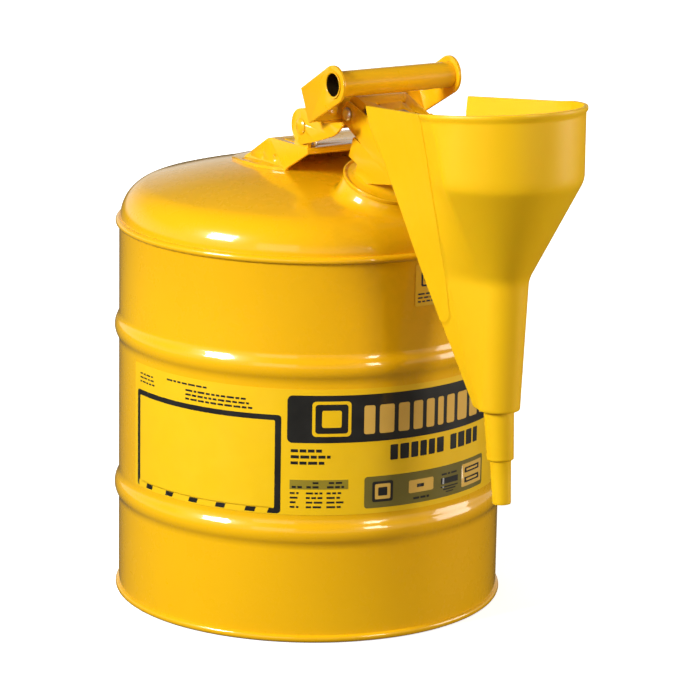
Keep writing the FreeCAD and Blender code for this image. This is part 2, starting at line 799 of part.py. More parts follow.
# ------------------------------------------------------------------- springs
def coil(name, radius, wire, pitch, height, place):
    """A round-wire coil: a helix swept by a circle."""
    for part, value in (("mean", radius), ("lead", pitch), ("tall", height), ("wire", wire)):
        cell("%s_%s" % (name, part), value)
    sheet.recompute()
    helix = doc.addObject("Part::Helix", name + "_helix")
    helix.setExpression("Radius", "Sheet.%s_mean" % name)
    helix.setExpression("Pitch", "Sheet.%s_lead" % name)
    helix.setExpression("Height", "Sheet.%s_tall" % name)
    circle = doc.addObject("Part::Circle", name + "_wire")
    circle.setExpression("Radius", "Sheet.%s_wire" % name)
    circle.Placement = Placement(Vector(radius, 0, 0), Rotation(Vector(1, 0, 0), 90))
    sweep = doc.addObject("Part::Sweep", name + "_sweep")
    sweep.Sections = [circle]
    sweep.Spine = (helix, [])
    sweep.Solid = True
    sweep.Frenet = True
    sweep.Placement = place
    return sweep


relief_place = spout_place.multiply(Placement(Vector(0, 0, 44.6), Rotation()))
node("relief_spring", coil(
    "relief_coil", radius=4.2, wire=0.4, pitch=1.1, height=4.4, place=relief_place
))
LID_COIL_LENGTH = 25.6
node("lid_spring", coil(
    "lid_coil", radius=4.7, wire=0.7, pitch=1.6, height=LID_COIL_LENGTH,
    place=along_y(hinge_x, -LID_COIL_LENGTH / 2, hinge_z),
))

# -------------------------------------------------------------------- funnel
funnel_wall = size["funnel_wall"]
# the outline at five heights: z, back corner x and half-width, panel edge x
# and half-width, nose centre x and radius, angle where the nose arc starts
levels = [
    (420.0, 134.5, 48.0, 226.7, 62.8, 236.0, 60.6, 90.0),
    (385.0, 137.4, 42.4, 224.9, 53.9, 236.0, 60.8, 78.0),
    (361.0, 151.6, 38.6, 223.5, 47.9, 236.0, 61.0, 72.0),
    (290.0, 183.0, 27.1, 219.4, 29.8, 244.0, 19.6, 76.0),
    (195.5, 232.6, 12.6, 238.0, 13.5, 244.5, 15.6, 95.0),
]


def section(name, row, grow, back):
    """One outline: a flat back, flat side panels, then a round nose."""
    z, back_edge, back_half, panel_x, panel_half, nose_x, nose_radius, nose_start = row
    back_edge -= back + grow
    back_half += grow
    panel_half += grow
    nose_radius += grow
    nose = on_circle(nose_x, 0, nose_radius, nose_start)[0]
    side = [(back_edge, -back_half), (panel_x, -panel_half), (nose[0], -nose[1])]
    sk = doc.addObject("Sketcher::SketchObject", name)
    sk.Placement = Placement(Vector(0, 0, z), Rotation())
    return loop(
        sk, name, side + [(nose_x + nose_radius, 0)] + mirrored(side),
        {2: (nose_radius, 1), 3: (nose_radius, 1)},
    )


def between(z):
    """The outline at another height, in line with its neighbours."""
    for high, low in zip(levels, levels[1:]):
        if z >= low[0]:
            part = (high[0] - z) / (high[0] - low[0])
            return tuple(a + (b - a) * part for a, b in zip(high, low))


def loft(name, grow=0.0, back=0.0, rows=levels):
    """The bowl's shape, grown outwards and with its back moved rearwards."""
    result = doc.addObject("Part::Loft", name)
    result.Sections = [
        section("%s_at%d" % (name, i), row, grow, back) for i, row in enumerate(rows)
    ]
    result.Solid = True
    result.Ruled = True
    return result


def tilted(name, low, high):
    """A slab between two planes parallel to the rim, which rises forwards."""
    return plate(
        name,
        [(100, 396.0 + low), (340, 420.0 + low), (340, 420.0 + high), (100, 396.0 + high)],
        "funnel_cutter_width",
    )


def leaning(obj):
    """Stands a piece in the tube's frame, which leans away from the can going down."""
    x = size["tube_x"] + size["tube_shift"]
    lean = Rotation(Vector(0, 1, 0), -size["tube_lean"])
    obj.Placement = Placement(Vector(x, 0, size["tube_lift"]), lean)
    obj.setExpression("Placement.Base.x", "Sheet.tube_x + Sheet.tube_shift")
    return obj


bowl = loft("bowl")
lip = common("rim_lip", [
    loft("bowl_lip", size["lip_proud"]),
    tilted("lip_band", -4.2, 0.0),
    plate("lip_zone", rectangle(226, 380, 330, 430), "funnel_cutter_width"),
])
panel_zone = plate(
    "panel_zone",
    [(120, 396.5), (121, 405), (226.1, 410), (218.2, 264), (213.6, 256), (205.5, 252),
     (170, 262)],
    "funnel_cutter_width",
    {3: (14.0, -1), 4: (14.0, -1)},
)
panels = common("side_panels", [loft("bowl_panel", size["panel_proud"]), panel_zone])
tube_upper = leaning(turned("tube_upper", [(0, 159.0), (9.6, 159.0), (10.8, 198.0), (0, 198.0)]))
tube_lower = leaning(turned(
    "tube_lower", [(0, "tip_height"), ("tip_radius", "tip_height"), (7.8, 160.0), (0, 160.0)]
))
bowl_trimmed = cut(
    "bowl_trimmed", fuse("bowl_whole", [bowl, panels]), tilted("rim_cut", 0.0, 40.0)
)
solid = fuse("funnel_solid", [bowl_trimmed, lip, tube_upper, tube_lower])

# the hollow: inset sections, open at the back above the spout's level but
# for a narrow lip down each side
hollow_low = loft(
    "hollow_low", -funnel_wall, rows=[between(430.0)] + levels[1:4] + [between(198.5)]
)
open_back = common("open_back", [
    loft("hollow_back", -funnel_wall, 16.0, [between(z) for z in (430.0, 385.0, 361.0, 330.0)]),
    plate("back_zone", rectangle(90, 440, 215, 352), "funnel_cutter_width"),
    plate("back_width", [(-30, 352), (30, 352), (44.3, 440), (-44.3, 440)], length=600,
          role="YZ_Plane"),
])
bore_upper = leaning(turned("bore_upper", [(0, 161.5), (7.8, 161.5), (9.2, 200.0), (0, 200.0)]))
bore_lower = leaning(turned(
    "bore_lower", [(0, 115), (5.0, 115), (5.1, 139.0), (6.3, 162.0), (0, 162.0)]
))
funnel_hollow = fuse("funnel_hollow", [hollow_low, open_back, bore_upper, bore_lower])
shell = cut("funnel_shell", solid, funnel_hollow)

# a hook on each side of the back: a bar with a tooth hanging from its end
bar = [(140.2, 20.0), (147.0, 20.0), (163.0, 38.0), (163.0, 39.7), (140.2, 24.6)]
tooth = rectangle(140.2, 20.0, 147.0, 21.7)
hooks = []
for i, (bar_plan, tooth_plan) in enumerate([(mirrored(bar), mirrored(tooth)), (bar, tooth)]):
    hooks.append(plate("hook_bar%d" % i, bar_plan, length=3.4, role="XY_Plane",
                       offset=362.1, midplane=False))
    hooks.append(plate("hook_tooth%d" % i, tooth_plan, length=9.0, role="XY_Plane",
                       offset=354.5, midplane=False))
node("funnel", fuse("funnel_whole", [shell] + hooks))

# -------------------------------------------------------------------- labels
cell("label_inside", tank_radius + size["label_clearance"])
cell("label_outside", size["label_inside"] + size["label_thick"])


def wrap(name, start, sweep, low, high):
    """A thin sheet round the wall, from a start angle in degrees off +X."""
    cell(name + "_sweep", sweep)
    cell(name + "_tall", high - low)
    sheet.recompute()
    cylinders = []
    for part, radius in (("skin", "label_outside"), ("core", "label_inside")):
        cylinder = doc.addObject("Part::Cylinder", "%s_%s" % (name, part))
        cylinder.setExpression("Radius", "Sheet." + radius)
        cylinder.setExpression("Height", "Sheet.%s_tall" % name)
        cylinder.setExpression("Angle", "Sheet.%s_sweep" % name)
        cylinder.Placement = Placement(Vector(0, 0, low), Rotation(Vector(0, 0, 1), start))
        cylinders.append(cylinder)
    return cut(name + "_cut", *cylinders)


node("body_label", wrap("label", start=-96.0, sweep=144.0, low=97.5, high=192.5))
node("approval_label", wrap("approval", start=-2.0, sweep=24.0, low=250.0, high=281.0))

# --------------------------------------------------------- check and export
doc.recompute()
bad = []
for obj in doc.Objects:
    if "Invalid" in obj.State or "Error" in obj.State:
        bad.append("%s (%s): %s" % (obj.Name, obj.Label, obj.State))
for label, obj in nodes.items():
    shape = obj.Shape
    if shape.isNull() or not shape.isValid() or not shape.Solids:
        bad.append("%s: shape null, invalid or without a solid" % label)
if bad:
    raise RuntimeError("failed objects: " + "; ".join(bad))
os.makedirs("parts", exist_ok=True)
for label, obj in nodes.items():
    obj.Shape.exportStep("parts/%s.step" % label)
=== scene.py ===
"""A yellow steel can with a tilted spout, a grip on top and a plastic funnel.

The can stands upright on z = 0 about the Z axis. The spout leans 20 degrees towards +X, and
the funnel hangs on that side. Labels wrap the wall, placed by angle from +X towards +Y.
Pieces are modelled in millimetres and scaled to metres; materials and the stage use metres.
"""

import bpy
import bmesh
import json
import math
import random
from mathutils import Matrix, Vector


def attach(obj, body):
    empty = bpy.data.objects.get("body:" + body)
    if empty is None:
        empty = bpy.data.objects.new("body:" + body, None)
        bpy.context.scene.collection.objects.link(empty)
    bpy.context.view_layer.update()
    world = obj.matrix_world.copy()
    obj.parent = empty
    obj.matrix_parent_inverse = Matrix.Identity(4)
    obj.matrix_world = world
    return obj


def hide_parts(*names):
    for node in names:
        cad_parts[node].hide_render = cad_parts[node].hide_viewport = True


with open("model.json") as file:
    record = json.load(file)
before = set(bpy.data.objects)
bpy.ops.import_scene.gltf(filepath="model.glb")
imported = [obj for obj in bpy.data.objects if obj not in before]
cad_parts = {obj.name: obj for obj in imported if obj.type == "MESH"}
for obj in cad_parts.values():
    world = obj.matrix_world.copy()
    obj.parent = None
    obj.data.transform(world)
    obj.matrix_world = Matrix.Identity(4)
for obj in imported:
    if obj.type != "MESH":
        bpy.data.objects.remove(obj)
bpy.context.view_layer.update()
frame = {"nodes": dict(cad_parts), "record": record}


random.seed(7)
scene = bpy.context.scene
MM = 0.001
NODES = frame["nodes"]
BODY_OF = {node: body for body, nodes in frame["record"]["behaviour"]["bodies"].items()
           for node in nodes}


# ---------------------------------------------------------------- shader helpers
def feed(tree, node, inputs):
    """Links each input to a socket, or sets its value."""
    for key, value in inputs.items():
        if isinstance(value, bpy.types.NodeSocket):
            tree.links.new(value, node.inputs[key])
        else:
            node.inputs[key].default_value = value


def add_node(tree, kind, inputs=None, **settings):
    node = tree.nodes.new("ShaderNode" + kind)
    for key, value in settings.items():
        setattr(node, key, value)
    feed(tree, node, inputs or {})
    return node


def new_material(name):
    material = bpy.data.materials.new(name)
    material.use_nodes = True
    tree = material.node_tree
    return material, tree, tree.nodes["Principled BSDF"]


def noise(tree, scale, detail=3.0, rough=0.5, stretch=None):
    coords = add_node(tree, "TexCoord").outputs["Object"]
    if stretch:
        coords = add_node(tree, "Mapping", {"Scale": stretch, "Vector": coords}).outputs["Vector"]
    return add_node(tree, "TexNoise", {
        "Scale": scale, "Detail": detail, "Roughness": rough, "Vector": coords}).outputs["Fac"]


def ramp(tree, value, stops):
    """Stops are (position, colour), in rising order."""
    node = add_node(tree, "ValToRGB", {"Fac": value})
    elements = node.color_ramp.elements
    elements[0].position, elements[0].color = stops[0]
    elements[1].position, elements[1].color = stops[-1]
    for position, colour in stops[1:-1]:
        elements.new(position).color = colour
    return node.outputs["Color"]


def two_tone(tree, value, dark, light):
    """Drifts between two RGB colours over the middle of a noise."""
    return ramp(tree, value, [(0.3, (*dark, 1)), (0.7, (*light, 1))])


def remap(tree, value, to, source=(0.3, 0.7)):
    return add_node(tree, "MapRange", {
        "From Min": source[0], "From Max": source[1],
        "To Min": to[0], "To Max": to[1], "Value": value}).outputs["Result"]


def bump(tree, height, distance, below=None):
    """Relief of the given distance in metres, on top of the normal below."""
    inputs = {"Distance": distance, "Strength": 1.0, "Height": height}
    if below is not None:
        inputs["Normal"] = below
    return add_node(tree, "Bump", inputs).outputs["Normal"]


def mix_colour(tree, factor, a, b, blend="MIX"):
    node = add_node(tree, "Mix", data_type="RGBA", blend_type=blend)
    feed(tree, node, {"Factor": factor, "A": a, "B": b})
    return node.outputs["Result"]


# --------------------------------------------------------------------- materials
def paint(name, light, dark, rough=(0.22, 0.34), coat_rough=0.05, peel=0.000012, wave=0.0006,
          fleck=0.0):
    """Gloss enamel: colour drift, orange peel, panel waviness and optional darker flecks."""
    material, tree, shader = new_material(name)
    colour = two_tone(tree, noise(tree, scale=9.0, detail=4.0), dark, light)
    if fleck:
        shade = 1 - fleck
        spots = ramp(tree, noise(tree, scale=520.0, detail=2.0, rough=0.7),
                     [(0.70, (1, 1, 1, 1)), (0.78, (shade, shade, shade, 1))])
        colour = mix_colour(tree, 1.0, colour, spots, blend="MULTIPLY")
    feed(tree, shader, {
        "Base Color": colour,
        "Roughness": remap(tree, noise(tree, scale=38.0, detail=5.0, rough=0.65), to=rough),
        "Coat Weight": 1.0,
        "Coat Roughness": remap(tree, noise(tree, scale=21.0, detail=6.0, rough=0.7),
                                to=(coat_rough, coat_rough * 2.2)),
        "Coat IOR": 1.5,
        "Specular IOR Level": 0.2,
    })
    waves = bump(tree, noise(tree, scale=5.5, detail=2.0, rough=0.4), distance=wave)
    surface = bump(tree, noise(tree, scale=900.0, detail=2.0), distance=peel, below=waves)
    feed(tree, shader, {"Normal": surface, "Coat Normal": surface})
    return material


def plastic(name, light, dark):
    """Slightly translucent plastic with a fine grain over soft waves."""
    material, tree, shader = new_material(name)
    feed(tree, shader, {
        "Base Color": two_tone(tree, noise(tree, scale=7.0), dark, light),
        "Roughness": remap(
            tree, noise(tree, scale=60.0, detail=4.0, rough=0.6, stretch=(1, 1, 0.25)),
            to=(0.36, 0.46)),
        "Subsurface Weight": 0.12,
        "Subsurface Radius": (0.004, 0.0022, 0.0004),
        "Subsurface Scale": 1.0,
        "Specular IOR Level": 0.35,
    })
    grain = noise(tree, scale=420.0, rough=0.6)
    waves = bump(tree, noise(tree, scale=14.0, detail=2.0, stretch=(1, 1, 0.4)), distance=0.0004)
    feed(tree, shader, {"Normal": bump(tree, grain, distance=0.00003, below=waves)})
    return material


def metal(name, colour, rough=(0.22, 0.42), scale=160.0):
    """Bare metal whose colour, roughness and relief vary at related noise scales."""
    material, tree, shader = new_material(name)

    def grain(times, detail):
        return noise(tree, scale=scale * times, detail=detail, rough=0.6, stretch=(1, 1, 1))

    feed(tree, shader, {
        "Base Color": two_tone(tree, grain(1.0, detail=5.0), [c * 0.82 for c in colour], colour),
        "Roughness": remap(tree, grain(0.7, detail=4.0), to=rough),
        "Metallic": 1.0,
        "Normal": bump(tree, grain(2.0, detail=3.0), distance=0.00002),
    })
    return material


def printed(name, light, dark, rough=(0.30, 0.42), coat=0.6):
    """Slight mottling under a thin clear film."""
    material, tree, shader = new_material(name)
    feed(tree, shader, {
        "Base Color": two_tone(tree, noise(tree, scale=70.0, detail=4.0), dark, light),
        "Roughness": remap(tree, noise(tree, scale=55.0, detail=4.0), to=rough),
        "Coat Weight": coat,
        "Coat Roughness": 0.09,
    })
    waves = bump(tree, noise(tree, scale=5.5, detail=2.0, rough=0.4), distance=0.0006)
    surface = bump(tree, noise(tree, scale=240.0, detail=2.0), distance=0.00001, below=waves)
    feed(tree, shader, {"Normal": surface, "Coat Normal": surface})
    return material


YELLOW = paint("enamel_yellow", light=(0.93, 0.510, 0.003), dark=(0.90, 0.475, 0.003))
YELLOW_PART = paint("enamel_yellow_stampings", light=(0.93, 0.505, 0.004),
                    dark=(0.88, 0.455, 0.003), rough=(0.25, 0.42), coat_rough=0.08,
                    peel=0.00002, wave=0.0003, fleck=0.05)
PLASTIC = plastic("polyethylene_yellow", light=(0.95, 0.565, 0.005), dark=(0.93, 0.530, 0.004))
STEEL = metal("zinc_steel", colour=(0.78, 0.76, 0.73))
SPRING = metal("spring_wire", colour=(0.50, 0.49, 0.47), rough=(0.25, 0.4), scale=320.0)
# Painted shade: the grip tube's bore gets a dark brownish colour that stands in for the shade
# inside the tube.
SHADED_BORE = metal("grip_inside_painted_shade", colour=(0.16, 0.095, 0.035), rough=(0.35, 0.6), scale=90.0)
RUBBER = printed("nitrile_rubber", light=(0.030, 0.030, 0.030), dark=(0.018, 0.018, 0.018),
                 rough=(0.55, 0.75), coat=0.0)
VINYL = printed("label_vinyl", light=(0.96, 0.600, 0.004), dark=(0.94, 0.575, 0.004))
INK = printed("label_ink", light=(0.012, 0.012, 0.011), dark=(0.007, 0.007, 0.007))
GREY = printed("label_grey", light=(0.34, 0.26, 0.02), dark=(0.30, 0.23, 0.018))
OLIVE = printed("label_olive", light=(0.19, 0.155, 0.025), dark=(0.16, 0.13, 0.02))
SAND = printed("label_sand", light=(0.80, 0.50, 0.10), dark=(0.76, 0.46, 0.085))


# ------------------------------------------------------------------ mesh helpers
def publish(name, bm, materials, body, sharp=None, stands_for=None):
    """Turns a millimetre mesh into an object riding on a body."""
    bmesh.ops.scale(bm, vec=(MM, MM, MM), verts=bm.verts)
    mesh = bpy.data.meshes.new(name)
    bm.to_mesh(mesh)
    bm.free()
    mesh.shade_smooth()
    if sharp:
        mesh.set_sharp_from_angle(angle=math.radians(sharp))
    for material in materials:
        mesh.materials.append(material)
    piece = bpy.data.objects.new(name, mesh)
    scene.collection.objects.link(piece)
    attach(piece, body)
    if stands_for:
        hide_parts(stands_for)


def skin(node, bm, materials, body, sharp, place=None):
    """Publishes a mesh in place of a CAD node."""
    if place is not None:
        bmesh.ops.transform(bm, matrix=place, verts=bm.verts)
    bmesh.ops.recalc_face_normals(bm, faces=bm.faces)
    publish(node + "_skin", bm, materials, body, sharp, node)


def fillet(points, steps=5):
    """Rounds a closed outline. Each point is (x, y) or (x, y, radius)."""
    rounded = []
    count = len(points)
    for i in range(count):
        corner = Vector(points[i][:2])
        radius = points[i][2] if len(points[i]) > 2 else 0
        if not radius:
            rounded.append((corner.x, corner.y))
            continue
        before = Vector(points[i - 1][:2]) - corner
        after = Vector(points[(i + 1) % count][:2]) - corner
        length_before, length_after = before.length, after.length
        before.normalize()
        after.normalize()
        angle = math.acos(max(-1, min(1, before.dot(after))))
        # A short side limits the radius.
        setback = min(radius / math.tan(angle / 2), length_before * 0.49, length_after * 0.49)
        radius = setback * math.tan(angle / 2)
        centre = corner + (before + after).normalized() * (radius / math.sin(angle / 2))
        start = corner + before * setback - centre
        end = corner + after * setback - centre
        sweep = math.atan2(start.x * end.y - start.y * end.x, start.dot(end))
        for k in range(steps + 1):
            turn = sweep * k / steps
            spoke = Vector((start.x * math.cos(turn) - start.y * math.sin(turn),
                            start.x * math.sin(turn) + start.y * math.cos(turn)))
            rounded.append((centre.x + spoke.x, centre.y + spoke.y))
    return rounded


def arc(centre_x, centre_y, radius, start, end, steps):
    """Points from the start to the end angle, in degrees."""
    angles = [math.radians(start + (end - start) * k / steps) for k in range(steps + 1)]
    return [(centre_x + radius * math.cos(a), centre_y + radius * math.sin(a)) for a in angles]


def lathe(profile, segments):
    """A closed outline of (radius, z) turned about Z."""
    bm = bmesh.new()
    rings = []
    for radius, z in profile:
        if radius < 1e-6:
            rings.append([bm.verts.new((0, 0, z))])
            continue
        turns = [2 * math.pi * k / segments for k in range(segments)]
        rings.append([bm.verts.new((radius * math.cos(turn), radius * math.sin(turn), z))
                      for turn in turns])
    for ring, above in zip(rings, rings[1:] + rings[:1]):
        for k in range(segments):
            quad = [ring[k % len(ring)], ring[(k + 1) % len(ring)],
                    above[(k + 1) % len(above)], above[k % len(above)]]
            corners_used = list(dict.fromkeys(quad))
            if len(corners_used) > 2:
                bm.faces.new(corners_used)
    return bm


def join_rows(bm, row, above):
    """Quads between two closed rows of vertices."""
    count = len(row)
    for i in range(count):
        bm.faces.new([row[i], row[(i + 1) % count], above[(i + 1) % count], above[i]])


def prism(outline, low, high):
    """An (x, y) outline run along Z."""
    bm = bmesh.new()
    bottom = [bm.verts.new((x, y, low)) for x, y in outline]
    top = [bm.verts.new((x, y, high)) for x, y in outline]
    join_rows(bm, bottom, top)
    bm.faces.new(bottom)
    bm.faces.new(top[::-1])
    bmesh.ops.recalc_face_normals(bm, faces=bm.faces)
    return bm


def soften(bm, width):
    """Bevels every edge sharper than 35 degrees."""
    edges = [edge for edge in bm.edges
             if len(edge.link_faces) == 2 and edge.calc_face_angle(0) > math.radians(35.0)]
    bmesh.ops.bevel(bm, geom=edges, offset=width, segments=2, profile=0.5, affect="EDGES",
                    clamp_overlap=True)
    return bm


def refine(*pieces):
    """CAD nodes' own meshes with softened edges: (node, material, bevel width)."""
    for node, material, width in pieces:
        bm = bmesh.new()
        bm.from_mesh(NODES[node].data)
        bmesh.ops.scale(bm, vec=(1 / MM, 1 / MM, 1 / MM), verts=bm.verts)
        bmesh.ops.remove_doubles(bm, verts=bm.verts, dist=0.002)
        bmesh.ops.recalc_face_normals(bm, faces=bm.faces)
        bmesh.ops.dissolve_limit(bm, angle_limit=math.radians(0.5), verts=bm.verts,
                                 edges=bm.edges)
        if width:
            soften(bm, width)
        skin(node, bm, [material], BODY_OF[node], sharp=32)


# --------------------------------------------------------------------- tank wall
WALL_R = 146.0
GAUGE = 0.8
RIB_HALF = 12.5  # half height of a rib
RIB_OUT = 3.2  # how far a rib stands out
RIB_LOW_Z, RIB_HIGH_Z = 83.0, 207.0
WALL_MID_Z = 145.0


def rib_line(middle_z, inset):
    """One rib going up: inset 0 for the outside, the gauge for the inside."""
    bend_r = (RIB_HALF * RIB_HALF / 4 + RIB_OUT * RIB_OUT / 4) / RIB_OUT
    sweep = math.degrees(math.asin((RIB_HALF / 2) / bend_r))
    crest_x = WALL_R + RIB_OUT - bend_r

    def root(angle, way):
        turn = math.radians(angle)
        return (WALL_R + bend_r - (bend_r + inset) * math.cos(turn),
                middle_z - way * RIB_HALF + way * (bend_r + inset) * math.sin(turn))

    def crest(angle):
        turn = math.radians(angle)
        return (crest_x + (bend_r - inset) * math.cos(turn),
                middle_z + (bend_r - inset) * math.sin(turn))

    return ([root(sweep * k / 8, 1) for k in range(9)]
            + [crest(-sweep + 2 * sweep * k / 14) for k in range(1, 15)]
            + [root(sweep - sweep * k / 8, -1) for k in range(1, 9)])


def wall_profile():
    foot_bead = [(145.2, 0.4), (145.6, 0.0)] + arc(145.3, 3.0, 3.1, -75, 40, 12)
    foot_bead += [(146.05, 5.6), (WALL_R, 6.6)]
    top_bead = [(WALL_R, 283.6), (146.25, 284.7)] + arc(146.0, 287.3, 2.75, -62, 62, 10)
    top_bead += [(146.5, 290.2), (145.6, 290.2)]
    outside = (foot_bead + rib_line(RIB_LOW_Z, 0) + [(WALL_R, WALL_MID_Z)]
               + rib_line(RIB_HIGH_Z, 0) + top_bead)
    inner_r = WALL_R - GAUGE
    inside = ([(inner_r, 290.0)] + rib_line(RIB_HIGH_Z, GAUGE)[::-1] + [(inner_r, WALL_MID_Z)]
              + rib_line(RIB_LOW_Z, GAUGE)[::-1] + [(inner_r, 0.4)])
    return outside + inside


skin("tank_wall", lathe(wall_profile(), 256), [YELLOW], "can", sharp=40)

# --------------------------------------------------------------------- tank dome
DOME_R = 145.15
DOME_FOOT_Z = 290.0
SKIRT_Z = 281.2  # lower end of the dome's straight skirt
KNUCKLE_R = 27.5
KNUCKLE_X = DOME_R - KNUCKLE_R
CROWN_DEG = 16  # the crown's half angle, where it meets the knuckle
JOIN_R = KNUCKLE_X + KNUCKLE_R * math.sin(math.radians(CROWN_DEG))
JOIN_Z = DOME_FOOT_Z + KNUCKLE_R * math.cos(math.radians(CROWN_DEG))
CROWN_R = JOIN_R / math.sin(math.radians(CROWN_DEG))
CROWN_Z = JOIN_Z - CROWN_R * math.cos(math.radians(CROWN_DEG))

SPOUT_BASE = Vector((100, 0, 332.8))
TILT = Matrix.Translation(SPOUT_BASE) @ Matrix.Rotation(math.radians(20), 4, "Y")
OPENING_R = 21.5  # hole in the dome under the spout
OPENING_REACH = 30  # how far along the spout axis the hole cuts, each way


def dome_line(offset):
    """The dome from foot to middle, moved outwards by the offset."""
    points = arc(KNUCKLE_X, DOME_FOOT_Z, KNUCKLE_R + offset, 0, 90 - CROWN_DEG, 26)
    widest = math.degrees(math.asin(JOIN_R / CROWN_R))
    for k in range(1, 31):
        angle = math.radians(widest * (1 - k / 30.0))
        points.append(((CROWN_R + offset) * math.sin(angle),
                       CROWN_Z + (CROWN_R + offset) * math.cos(angle)))
    return points


def dome_z(x, y):
    """Height of the dome's outside."""
    radius = math.hypot(x, y)
    if radius <= JOIN_R:
        return CROWN_Z + math.sqrt(CROWN_R ** 2 - radius * radius)
    return DOME_FOOT_Z + math.sqrt(max(0.0, KNUCKLE_R ** 2 - (radius - KNUCKLE_X) ** 2))


def dome_mesh():
    bm = lathe([(DOME_R, SKIRT_Z)] + dome_line(0.0) + dome_line(-GAUGE)[::-1]
               + [(DOME_R - GAUGE, SKIRT_Z)], 256)
    axis = TILT.to_3x3() @ Vector((0, 0, 1))
    opening = []
    for face in bm.faces:
        away = face.calc_center_median() - SPOUT_BASE
        along = away.dot(axis)
        if (away - axis * along).length < OPENING_R and abs(along) < OPENING_REACH:
            opening.append(face)
    bmesh.ops.delete(bm, geom=opening, context="FACES")
    return bm


skin("tank_dome", dome_mesh(), [YELLOW], "can", sharp=40)
refine(("tank_base", YELLOW, 0.15))

# ------------------------------------------------------------------------- spout
# Profiles are (radius, z along the spout axis, fillet radius).
COLLAR = [
    (32.3, -0.4), (33.2, 1.2, 2.0), (33.8, 3.9, 0.9), (32.2, 4.0, 0.7), (30.8, 3.0, 1.4),
    (24.6, 4.8, 8.0), (20.4, 12.2, 1.2), (18.55, 12.5), (18.55, 9.8), (23.8, 3.0, 5.0),
    (30.8, 1.4, 1.4),
]
NECK = [
    (17.3, -24), (18.5, -24), (18.5, 46, 1.2), (20.0, 47.0, 1.0), (20.0, 49.2, 0.8),
    (18.6, 50.0, 0.6), (17.3, 49.6, 0.5),
]
COLLAR_SEGMENTS = 128
FLARE_TOP_R, FLARE_TOP_Z = 33.0, 0.6  # where the flare leaves the collar
FLARE_FOOT_R = 43.5
FLARE_FOOT_CUT = 6.0  # how much shorter it reaches on the +X side
FLARE_THICK = 1.2
FLARE_LIFT = 0.03  # gap between the flare's foot and the dome


def flare_point(turn, t):
    """A Hermite curve from the collar (t = 0) to a tangent landing on the dome (t = 1)."""
    cos, sin = math.cos(turn), math.sin(turn)
    top = TILT @ Vector((FLARE_TOP_R * cos, FLARE_TOP_R * sin, FLARE_TOP_Z))
    down = TILT.to_3x3() @ Vector((0.30 * cos, 0.30 * sin, -1.0))
    reach = FLARE_FOOT_R - FLARE_FOOT_CUT * max(0.0, cos)
    foot = TILT @ Vector((reach * cos, reach * sin, 0))
    foot.z = dome_z(foot.x, foot.y) + FLARE_LIFT
    away = Vector((foot.x - top.x, foot.y - top.y, 0)).normalized()
    ahead = foot + away
    slope = dome_z(ahead.x, ahead.y) + FLARE_LIFT - foot.z
    run = Vector((away.x, away.y, slope)).normalized()
    span = (foot - top).length
    at_top, leave_top = 2 * t ** 3 - 3 * t * t + 1, t ** 3 - 2 * t * t + t
    at_foot, reach_foot = -2 * t ** 3 + 3 * t * t, t ** 3 - t * t
    return (top * at_top + down * (span * 0.9 * leave_top)
            + foot * at_foot + run * (span * 1.2 * reach_foot))


def collar_mesh():
    """The turned collar with its flare, in the spout's frame."""
    bm = lathe(fillet(COLLAR, 6), COLLAR_SEGMENTS)
    turns = [2 * math.pi * i / COLLAR_SEGMENTS for i in range(COLLAR_SEGMENTS)]
    outside = [[flare_point(turn, k / 14.0) for turn in turns] for k in range(15)]
    inside = [[point - Vector((0, 0, FLARE_THICK)) for point in row] for row in outside]
    to_spout = TILT.inverted()
    sheet = [[bm.verts.new(to_spout @ point) for point in row] for row in outside + inside[::-1]]
    for row, after in zip(sheet, sheet[1:] + sheet[:1]):
        for i in range(COLLAR_SEGMENTS):
            beside = (i + 1) % COLLAR_SEGMENTS
            bm.faces.new([row[i], after[i], after[beside], row[beside]])
    return bm


skin("spout_collar", collar_mesh(), [YELLOW], "can", sharp=45, place=TILT)
skin("spout_neck", lathe(fillet(NECK, 4), 96), [YELLOW_PART], "can", sharp=45, place=TILT)
refine(
    ("flame_arrester", STEEL, 0), ("arrester_ring", SPRING, 0.1),
    ("spout_yoke", YELLOW_PART, 0.35), ("yoke_bolt", STEEL, 0.2),
    ("lid_hinge_pin", STEEL, 0.2),
)

# ------------------------------------------------------------- bridge and handle
refine(
    ("bridge_bracket", YELLOW, 0.45), ("handle_pivot_rivets", YELLOW_PART, 0.15),
    ("bridge_studs", STEEL, 0.2), ("handle_bracket", YELLOW_PART, 0.4),
    ("handle_yoke", YELLOW_PART, 0.4), ("yoke_rivets", YELLOW_PART, 0.15),
)

# The grip tube lies along Y, with a small bead at each end.
GRIP_HALF = 51.4  # half length between the beads
GRIP = [
    (9.5, -GRIP_HALF), (9.5, GRIP_HALF), (10.1, 51.9, 0.4), (9.9, 52.5, 0.4), (8.3, 52.0, 0.8),
    (8.3, -52.0, 0.8), (9.9, -52.5, 0.4), (10.1, -51.9, 0.4),
]
BORE_LIMIT_R = 8.6  # faces nearer the axis than this are bore
GRIP_PLACE = Matrix.Translation((104, 0, 410)) @ Matrix.Rotation(math.radians(-90), 4, "X")


def grip_mesh():
    bm = lathe(fillet(GRIP, 3), 96)
    for face in bm.faces:
        middle = face.calc_center_median()
        in_bore = math.hypot(middle.x, middle.y) < BORE_LIMIT_R and abs(middle.z) < GRIP_HALF
        # Bore faces take the painted-shade material.
        face.material_index = 1 if in_bore else 0
    return bm


skin("grip_tube", grip_mesh(), [YELLOW_PART, SHADED_BORE], "handle", sharp=40, place=GRIP_PLACE)

# --------------------------------------------------------------------------- lid
# Profiles as for the spout.
CAP = [
    (3.2, 53.6), (21.2, 53.6), (21.2, 46.2), (22.4, 46.2), (22.4, 54.9, 1.9),
    (15.5, 54.9, 1.2), (14.2, 54.2, 1.2), (3.2, 54.2),
]
GASKET = [(3.6, 50.1), (20.8, 50.1, 0.5), (20.8, 53.5, 0.5), (3.6, 53.5)]

